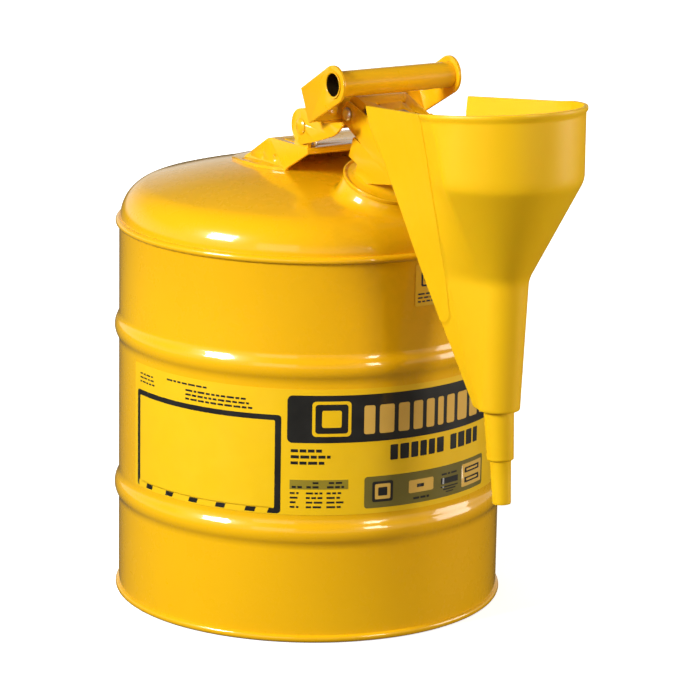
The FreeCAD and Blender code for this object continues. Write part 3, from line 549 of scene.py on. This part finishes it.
skin("lid_cap", lathe(fillet(CAP, 5), 96), [YELLOW_PART], "lid", sharp=45, place=TILT)
skin("lid_gasket", lathe(fillet(GASKET, 3), 96), [RUBBER], "lid", sharp=45, place=TILT)
refine(
    ("lid_lever", YELLOW_PART, 0.35), ("relief_stem", STEEL, 0.15),
    ("relief_spring", SPRING, 0), ("lid_spring", SPRING, 0),
)

# ------------------------------------------------------------------------ funnel
# z, back corner x and half width, panel edge x and half width,
# nose centre x and radius, angle in degrees where the nose arc starts
FUNNEL_OUTLINES = [
    (420.0, 134.5, 48.0, 226.7, 62.8, 236.0, 60.6, 90.0),
    (385.0, 137.4, 42.4, 224.9, 53.9, 236.0, 60.8, 78.0),
    (361.0, 151.6, 38.6, 223.5, 47.9, 236.0, 61.0, 72.0),
    (290.0, 183.0, 27.1, 219.4, 29.8, 244.0, 19.6, 76.0),
    (195.5, 232.6, 12.6, 238.0, 13.5, 244.5, 15.6, 95.0),
]
FUNNEL_FOOT_Z = 195.5  # where the body meets the tube
FOOT_ROUND_Z = 196.7  # top of the rounding at the foot
SILL_Z = 352.0  # the back is open above this
TOP_BAND_Z, TOP_Z = 392.0, 404.0  # the rows between these follow the sloping rim
FUNNEL_WALL = 2.0

# Heights of the rows: bands of (start, stop, step), the stop left out
LEVEL_BANDS = [
    (201.0, 250.0, 5.0), (251.0, 268.0, 1.2), (269.0, 352.0, 3.0),
    (352.0, 362.0, 1.5), (364.0, 392.0, 4.0),
]
LEVELS = [195.5, 196.0, 196.8, 198.5] + [
    start + step * k for start, stop, step in LEVEL_BANDS
    for k in range(math.ceil((stop - start) / step))]
# Shares of the way up to the rim
TOP_SHARES = [0.0, 0.2, 0.35, 0.5, 0.58, 0.64, 0.7, 0.78, 0.86, 0.93, 0.975, 1.0]

# Points round a row: back, side to the split, side to the nose, nose steps
BACK_N, SIDE_N, SHOULDER_N, NOSE_N = 9, 34, 10, 40

PANEL_OUT = 0.8  # how far the side panels stand out
PANEL_CORNER_X, PANEL_CORNER_Z, PANEL_CORNER_R = 204.5, 266.0, 14.0
PANEL_MIN_Z = 250
LIP_OUT = 1.2  # how far the lip round the nose stands out
LIP_CENTRE_X = 236.0

TUBE_X = 245.5
TUBE_LEAN = 0.097  # the tube moves away from the can by this much per mm down
# (radius, z), from the body down
TUBE_OUTSIDE = [
    (11.9, 195.3), (11.3, 195.1), (10.9, 194.8), (10.8, 194.0), (9.6, 160.6), (9.45, 159.8),
    (9.1, 159.4), (8.2, 159.1), (7.8, 158.8), (7.65, 158.2), (7.1, 144.0), (6.6, 129.4),
    (6.5, 128.2), (6.2, 127.6),
]
TUBE_INSIDE = [
    (9.2, 194.4), (9.0, 192.5), (7.8, 162), (6.3, 158), (5.1, 139), (5.0, 127.9), (5.2, 127.6),
]
# Hook pieces that rest on the spout yoke: (x, y) outline, low z, high z
HOOK_PIECES = [
    ([(140.2, 20.0), (147.0, 20.0), (163.0, 38.0), (163.0, 39.7), (140.2, 24.6)], 362.1, 365.5),
    ([(140.2, 20.0), (147.0, 20.0), (147.0, 21.7), (140.2, 21.7)], 354.5, 363.5),
]


def outline_at(z):
    """The outline table interpolated at one height."""
    if z >= FUNNEL_OUTLINES[0][0]:
        return FUNNEL_OUTLINES[0][1:]
    for (high_z, *high), (low_z, *low) in zip(FUNNEL_OUTLINES, FUNNEL_OUTLINES[1:]):
        if z >= low_z:
            t = (high_z - z) / (high_z - low_z)
            return [p + (q - p) * t for p, q in zip(high, low)]
    return FUNNEL_OUTLINES[-1][1:]


def blended_outline(z):
    """The outline averaged over a short height, to blend the levels."""
    count, spacing = 9, 0.9
    mean = [0.0] * 7
    for i in range(count):
        for j, value in enumerate(outline_at(z + (i - (count - 1) / 2) * spacing)):
            mean[j] += value / count
    return mean


def smooth(low, high, value):
    t = max(0.0, min(1.0, (value - low) / (high - low)))
    return t * t * (3 - 2 * t)


def ring_at(z, grow):
    """Points (x, y) at one height: back, +Y side, nose, -Y side."""
    back_x, back_half, edge_x, edge_half, nose_x, nose_r, start = blended_outline(z)
    back_x -= grow
    back_half += grow
    edge_half += grow
    nose_r += grow
    start = math.radians(start)
    join_x, join_y = nose_x + nose_r * math.cos(start), nose_r * math.sin(start)
    # A close pair of columns follows this leaning line, kept within the side.
    split = max(min(226.0 - 0.0573 * (TOP_Z - z), join_x - 2.0),
                back_x + 0.3 * (join_x - back_x))

    def side(x):
        if x < edge_x:
            return back_half + (edge_half - back_half) * (x - back_x) / (edge_x - back_x)
        return edge_half + (join_y - edge_half) * (x - edge_x) / max(0.1, join_x - edge_x)

    flank = [back_x + (split - 0.7 - back_x) * k / (SIDE_N - 1) for k in range(SIDE_N)]
    flank += [split + (join_x - split) * k / SHOULDER_N for k in range(SHOULDER_N)]
    points = [(back_x, -back_half + 2 * back_half * k / BACK_N) for k in range(BACK_N)]
    points += [(x, side(x)) for x in flank]
    for k in range(NOSE_N + 1):
        turn = start - 2 * start * k / NOSE_N
        points.append((nose_x + nose_r * math.cos(turn), nose_r * math.sin(turn)))
    points += [(x, -side(x)) for x in reversed(flank[1:])]
    return points


def rim_z(x):
    return 400.0 + 0.10 * (x - 140.0)


def panel_foot(x):
    """Height of the raised panel's rounded lower end."""
    past = x - PANEL_CORNER_X
    if past > 0:
        return PANEL_CORNER_Z - math.sqrt(max(0.0, PANEL_CORNER_R ** 2 - past ** 2))
    return PANEL_CORNER_Z - PANEL_CORNER_R - past * 0.28


def panel_offset(x, z):
    foot = panel_foot(x)
    return PANEL_OUT * smooth(foot - 0.5, foot + 0.7, z)


def lip_offset(x, z):
    """The lip fades in along x, starts below the rim and draws in at the very top."""
    rim = rim_z(x)
    return (smooth(223.0, 228.0, x) * LIP_OUT * smooth(rim - 4.4, rim - 3.5, z)
            * (1 - 0.55 * smooth(rim - 0.9, rim, z)))


def funnel_row(bm, level, grow, outside, share=None):
    """One row of the wall at a level, or at a share of the way up to the rim."""
    points = ring_at(level, grow)
    if share is not None:
        above = ring_at(TOP_Z, grow)
    row = []
    for i, (x, y) in enumerate(points):
        z = level
        if share is not None:
            z = level + (rim_z(x - 4.0) - level) * share
            rise = (z - level) / (TOP_Z - level)
            x, y = x + (above[i][0] - x) * rise, y + (above[i][1] - y) * rise
        shown_x, shown_y = x, y
        if outside:
            on_side = BACK_N <= i < BACK_N + SIDE_N or i > len(points) - SIDE_N
            if on_side and z > PANEL_MIN_Z:
                shown_y += math.copysign(panel_offset(x, z), y)
            offset = lip_offset(x, z)
            if offset:
                outward = Vector((x - LIP_CENTRE_X, y)).normalized()
                shown_x += outward.x * offset
                shown_y += outward.y * offset
        row.append(bm.verts.new((shown_x, shown_y, z)))
    return row


def funnel_rows(bm, grow, outside):
    rows = []
    for level in LEVELS:
        inset = 0.0
        if outside and level < FOOT_ROUND_Z:
            height = (level - FUNNEL_FOOT_Z) / (FOOT_ROUND_Z - FUNNEL_FOOT_Z)
            inset = 0.5 * (1 - height) ** 2
        rows.append(funnel_row(bm, level, grow - inset, outside))
    return rows + [funnel_row(bm, TOP_BAND_Z, grow, outside, share) for share in TOP_SHARES]


def tube_rows(bm, source, stations):
    """Carries a row of the body down through the tube; returns the last row."""
    previous = source
    for radius, z in stations:
        drop = FUNNEL_FOOT_Z - z
        row = []
        for vert in source:
            turn = math.atan2(vert.co.y, vert.co.x - TUBE_X)
            across = radius * math.cos(turn)
            row.append(bm.verts.new((
                TUBE_X + TUBE_LEAN * drop + across, radius * math.sin(turn),
                z + TUBE_LEAN * across * min(1.0, drop / 3.0))))
        join_rows(bm, previous, row)
        previous = row
    return previous


def add_hooks(bm):
    for side in (-1, 1):
        for outline, low, high in HOOK_PIECES:
            piece = soften(prism([(x, side * y) for x, y in outline], low, high), 0.5)
            carrier = bpy.data.meshes.new("tmp")
            piece.to_mesh(carrier)
            piece.free()
            bm.from_mesh(carrier)
            bpy.data.meshes.remove(carrier)


def funnel_mesh():
    bm = bmesh.new()
    outer = funnel_rows(bm, 0.0, outside=True)
    inner = funnel_rows(bm, -FUNNEL_WALL, outside=False)
    around = len(outer[0])
    sill = next(j for j, level in enumerate(LEVELS) if level >= SILL_Z)
    for rows in (outer, inner):
        for j in range(len(rows) - 1):
            for i in range(around):
                if j >= sill and i < BACK_N:
                    continue
                beside = (i + 1) % around
                bm.faces.new([rows[j][i], rows[j][beside], rows[j + 1][beside], rows[j + 1][i]])
    # The edge along the sill and the rim
    for i in range(around):
        j = sill if i < BACK_N else -1
        beside = (i + 1) % around
        bm.faces.new([outer[j][i], outer[j][beside], inner[j][beside], inner[j][i]])
    # The upright edges of the open back
    for j in range(sill, len(outer) - 1):
        for i in (0, BACK_N):
            bm.faces.new([outer[j][i], outer[j + 1][i], inner[j + 1][i], inner[j][i]])
    tip_outside = tube_rows(bm, outer[0], TUBE_OUTSIDE)
    tip_inside = tube_rows(bm, inner[0], TUBE_INSIDE)
    join_rows(bm, tip_outside, tip_inside)
    bmesh.ops.remove_doubles(bm, verts=bm.verts, dist=0.01)
    add_hooks(bm)
    return bm


skin("funnel", funnel_mesh(), [PLASTIC], "funnel", sharp=38)

# ------------------------------------------------------------------------ labels
# Label outlines are (degrees round the wall, z in mm).
MM_PER_DEG = math.radians(1) * WALL_R
DEG_PER_MM = 1.0 / MM_PER_DEG
BEND_STEP = 1.5  # degrees between the cuts that let a label bend
# Heights of the layers above the wall
PATCH, PRINT, INSET, SECOND, DETAIL, THIRD, FOURTH = 0.26, 0.34, 0.40, 0.42, 0.46, 0.48, 0.54


def wrap(name, lift, material, outlines, stands_for=None):
    """Flat outlines laid on the wall, lift above it."""
    bm = bmesh.new()
    for outline in outlines:
        bm.faces.new([bm.verts.new((angle * MM_PER_DEG, z, 0)) for angle, z in outline])
    angles = [angle for outline in outlines for angle, _ in outline]
    cut = math.ceil(min(angles) / BEND_STEP) * BEND_STEP
    while cut < max(angles):
        geometry = bm.verts[:] + bm.edges[:] + bm.faces[:]
        bmesh.ops.bisect_plane(bm, geom=geometry, plane_co=(cut * MM_PER_DEG, 0, 0),
                               plane_no=(1, 0, 0))
        cut += BEND_STEP
    radius = WALL_R + lift
    for vert in bm.verts:
        turn = vert.co.x / WALL_R
        vert.co = Vector((radius * math.cos(turn), radius * math.sin(turn), vert.co.y))
    bmesh.ops.recalc_face_normals(bm, faces=bm.faces)
    for face in bm.faces:
        middle = face.calc_center_median()
        if face.normal.dot(Vector((middle.x, middle.y, 0))) < 0:
            face.normal_flip()
    publish(name, bm, [material], "can", stands_for=stands_for)


def box(start, end, low, high, radius=0.0):
    """A rectangle from start to end degrees, with a corner radius in mm."""
    if not radius:
        return [(start, low), (end, low), (end, high), (start, high)]
    left, right = start / DEG_PER_MM, end / DEG_PER_MM
    points = fillet([(left, low, radius), (right, low, radius),
                     (right, high, radius), (left, high, radius)], 6)
    return [(x * DEG_PER_MM, z) for x, z in points]


def print_lines(*lines):
    """Small print as dashes of random length: (start, end, z, height) for each line."""
    dashes = []
    for start, stop, z, height in lines:
        while start < stop - 0.6:
            end = min(start + random.uniform(0.9, 2.6), stop)
            dashes.append(box(start, end, z, z + height))
            start = end + 0.45
    return dashes


def block_row(start, widths, gap, low, high, radius):
    """Blocks side by side; a negative width is a space."""
    blocks = []
    for width in widths:
        if width < 0:
            start -= width
            continue
        blocks.append(box(start, start + width, low, high, radius))
        start += width + gap
    return blocks


# The large patch and its frame
wrap("label_vinyl_patch", PATCH, VINYL, [box(-95.7, 47.5, 97.6, 192.4, 2.0)], "body_label")
wrap("label_frame", PRINT, INK, [box(-94.0, -41.0, 98.4, 172.6, 2.6)])
wrap("label_frame_inside", INSET, VINYL,
     [box(-92.4, -42.8, 102.2, 168.6, 1.2), box(-92.9, -43.4, 97.9, 103.0)])
dash_centres = [-87.2 + 9.3 * k for k in range(5)]
wrap("label_frame_dashes", DETAIL, INK,
     [[(c - 1.6, 98.6), (c + 1.4, 98.6), (c + 1.9, 102.2), (c - 1.1, 102.2)]
      for c in dash_centres]
     + [[(-44.9, 98.4), (-42.5, 98.4), (-42.5, 102.3), (-44.3, 102.3)]])
wrap("label_small_print", PRINT, INK, print_lines(
    *[(-92.4, -85.5 + i * 0.4, 184.6 - i * 3.0, 1.2) for i in range(3)],
    (-79.0, -64.0, 186.6, 1.4),
    *[(-71.5, -51.5 + i * 1.0, 182.0 - i * 3.2, 1.5) for i in range(3)],
    (-91.5, -68.5, 164.6, 1.6),
    *[(-38.2, end, 145.2 - i * 4.6, 2.3) for i, end in enumerate((-28.4, -26.2, -28.6))],
    *[(start, end, 113.6 - i * 3.5, 1.5) for i in range(4)
      for start, end in ((-38.3, -35.8), (-33.7, -29.0), (-27.8, -22.9))]))
wrap("label_table_head", PRINT, GREY, [box(-38.4, -21.6, 117.2, 124.4)])
wrap("label_table_head_print", SECOND, INK, print_lines(
    (-37.8, -34.6, 118.2, 1.6), (-33.6, -29.4, 118.2, 1.6), (-27.7, -22.8, 118.2, 1.6),
    (-31.8, -29.6, 121.4, 1.5), (-27.2, -22.8, 121.4, 1.5)))

# The banner and the title under it
wrap("label_banner", PRINT, INK, [box(-39.3, 46.0, 152.2, 187.8, 4.0)])
wrap("label_banner_tile", SECOND, VINYL, [box(-32.2, -21.0, 157.0, 183.4, 3.0)])
wrap("label_banner_mark", THIRD, INK, [box(-31.3, -21.9, 159.3, 181.1, 2.2)])
wrap("label_banner_core", FOURTH, VINYL, [box(-29.4, -23.8, 163.8, 176.6, 1.4)])
wrap("label_banner_blocks", SECOND, SAND, block_row(
    -17.2, (3.3, 4.6, 3.6, 3.2, 2.9, 2.2, 3.2, 4.4, 4.2, 3.8, 4.2, 3.6),
    gap=1.35, low=158.0, high=179.5, radius=1.6))
wrap("label_title_blocks", PRINT, INK, block_row(
    -9.0, (2.4, 2.9, 2.4, 2.3, 2.3, 2.7, -2.0, 2.7, 3.0, 2.9, 2.4),
    gap=0.75, low=137.0, high=148.6, radius=0.8))

# The strip along the bottom
wrap("label_strip", PRINT, OLIVE, [box(-16.8, 29.5, 101.6, 125.6, 2.4)])
wrap("label_strip_tile", SECOND, INK, [box(-14.4, -8.0, 106.0, 121.6, 1.6)])
wrap("label_strip_tile_in", THIRD, SAND, [box(-13.6, -8.8, 108.0, 119.6, 1.0)])
wrap("label_strip_tile_core", FOURTH, INK, [box(-12.6, -9.8, 110.6, 117.0, 0.6)])
wrap("label_strip_panel", SECOND, SAND, [box(-2.8, 6.0, 109.6, 119.4, 1.4)])
wrap("label_strip_bars", DETAIL, INK,
     print_lines((0.0, 3.4, 113.4, 2.6), (-1.2, 4.4, 104.6, 1.6), (9.2, 16.0, 118.4, 1.4))
     + [box(9.0, 16.2, 111.6, 116.2), box(9.0, 16.2, 108.8, 109.8),
        box(10.0, 15.2, 106.8, 107.8), box(11.0, 14.2, 104.9, 105.7)])
wrap("label_strip_square", SECOND, SAND, [box(18.0, 28.6, 105.0, 122.4, 1.0)])
wrap("label_strip_square_bars", THIRD, INK,
     [box(19.4, 27.2, 115.4, 119.6, 0.8), box(19.4, 27.2, 107.8, 112.0, 0.8)])
wrap("label_strip_square_in", FOURTH, SAND,
     [box(20.3, 26.3, 116.7, 118.3, 0.4), box(20.3, 26.3, 109.1, 110.7, 0.4)])

# The small patch near the top of the wall
wrap("approval_label_patch", PATCH, VINYL, [box(-2.0, 22.0, 250.0, 281.0, 1.4)],
     "approval_label")
wrap("approval_label_print", PRINT, INK, [box(0.0, 4.8, 264.4, 275.6, 1.6)] + print_lines(
    (-1.0, 6.4, 258.4, 1.2), (-1.0, 6.0, 255.6, 1.2), (-1.0, 5.2, 252.8, 1.2)))
wrap("approval_label_tile", INSET, VINYL, [box(0.6, 4.2, 265.8, 274.2, 1.0)])
wrap("approval_label_core", DETAIL, INK, [box(1.0, 3.8, 268.6, 271.4)])


# ------------------------------------------------------------- stage, in metres
def floor_material():
    """Glowing white paper to the camera, a dim warm diffuse to every other ray."""
    material, tree, paper = new_material("studio_paper")
    feed(tree, paper, {"Base Color": (0.86, 0.86, 0.86, 1), "Roughness": 0.8})
    feed(tree, paper, {"Roughness": remap(tree, noise(tree, scale=3.0), to=(0.75, 0.85))})
    glow = add_node(tree, "Emission", {"Color": (1, 1, 1, 1)})
    position = add_node(tree, "NewGeometry").outputs["Position"]
    distance = add_node(tree, "VectorMath", {0: position}, operation="LENGTH").outputs["Value"]
    # The glow grows with distance from the can, so the floor is darker near it: painted shade
    # round the can.
    feed(tree, glow, {"Strength": remap(tree, distance, to=(0.72, 1.0), source=(0.5, 1.6))})
    bright = add_node(tree, "AddShader", {0: paper.outputs[0], 1: glow.outputs[0]})
    dim = add_node(tree, "BsdfDiffuse", {"Color": (0.10, 0.095, 0.085, 1)})
    seen = add_node(tree, "LightPath").outputs["Is Camera Ray"]
    pick = add_node(tree, "MixShader", {"Fac": seen, 1: dim.outputs[0], 2: bright.outputs[0]})
    feed(tree, tree.nodes["Material Output"], {"Surface": pick.outputs[0]})
    return material


bpy.ops.mesh.primitive_circle_add(vertices=96, radius=6.0, fill_type="NGON",
                                  location=(0, 0, -0.0004))
floor = bpy.context.object
floor.name = "studio_floor"
floor.data.materials.append(floor_material())

# What reflects in the enamel, from straight down (0) to straight up (1):
# a dark floor, a pale wall at the horizon and a dim ceiling
REFLECTED = [
    (0.0, (0.03, 0.028, 0.025, 1)), (0.475, (0.05, 0.045, 0.04, 1)),
    (0.51, (0.75, 0.71, 0.64, 1)), (0.60, (0.50, 0.47, 0.42, 1)),
    (0.70, (0.10, 0.092, 0.08, 1)), (1.0, (0.07, 0.062, 0.05, 1)),
]
AMBIENT = (0.20, 0.180, 0.150, 1)
BACKDROP = (1, 1, 1, 1)


def build_world():
    world = bpy.data.worlds.new("studio")
    scene.world = world
    world.use_nodes = True
    tree = world.node_tree
    direction = add_node(tree, "TexCoord").outputs["Generated"]
    height = add_node(tree, "SeparateXYZ", {0: direction}).outputs["Z"]
    reflected = ramp(tree, remap(tree, height, to=(0.0, 1.0), source=(-1.0, 1.0)), REFLECTED)
    rays = add_node(tree, "LightPath").outputs
    colour = mix_colour(tree, rays["Is Glossy Ray"], AMBIENT, reflected)
    colour = mix_colour(tree, rays["Is Camera Ray"], colour, BACKDROP)
    feed(tree, tree.nodes["Background"], {"Color": colour, "Strength": 1.0})


build_world()

CAMERA_AT = Vector((2.159229, -1.402220, 0.817109))
# The camera's own axes
RIGHT = Vector((0.550969, 0.834358, 0.016710))
UP = Vector((-0.207497, 0.117571, 0.971145))
BACK = Vector((0.808318, -0.538538, 0.237905))
TO_CAMERA = Vector((BACK.x, BACK.y, 0)).normalized()
ACROSS = Vector((RIGHT.x, RIGHT.y, 0)).normalized()


def area(name, at, look, size, power, colour=(1, 1, 1)):
    """An area light; at is metres towards the camera, to its right, and up."""
    near, across, high = at
    light = bpy.data.lights.new(name, "AREA")
    light.shape = "RECTANGLE"
    light.size, light.size_y = size
    light.energy = power
    light.color = colour
    lamp = bpy.data.objects.new(name, light)
    place = TO_CAMERA * near + ACROSS * across + Vector((0, 0, high))
    lamp.location = place
    lamp.rotation_euler = (Vector(look) - place).to_track_quat("-Z", "Y").to_euler()
    scene.collection.objects.link(lamp)
    return lamp


area("key_left", at=(1.3, -1.95, 1.40), look=(0, 0, 0.2), size=(0.70, 0.70), power=79)
area("fill_high", at=(2.2, 1.9, 1.15), look=(0.1, 0, 0.25), size=(0.7, 0.7), power=26,
     colour=(1.0, 0.93, 0.82))
area("fill_right", at=(-0.1, 2.4, 0.5), look=(0.1, 0, 0.2), size=(1.2, 1.0), power=23,
     colour=(1.0, 0.93, 0.84))
area("front_low", at=(2.6, -0.9, 0.9), look=(0, 0, 0.2), size=(1.2, 0.9), power=4,
     colour=(1.0, 0.97, 0.92))
back_soft = area("back_soft", at=(-2.3, -0.7, 0.75), look=(0, 0, 0.25), size=(1.3, 0.9),
                 power=15, colour=(1.0, 0.96, 0.90))
back_soft.visible_camera = False
back_soft.visible_glossy = False

camera_data = bpy.data.cameras.new("camera")
camera_data.lens = 178.36
camera_data.sensor_width = 36.0
camera_data.clip_start = 0.05
camera = bpy.data.objects.new("camera", camera_data)
scene.collection.objects.link(camera)
camera_place = Matrix((RIGHT, UP, BACK)).transposed().to_4x4()
camera_place.translation = CAMERA_AT
camera.matrix_world = camera_place
scene.camera = camera
scene.view_settings.view_transform = "Standard"
scene.view_settings.look = "None"
scene.view_settings.exposure = 0.0
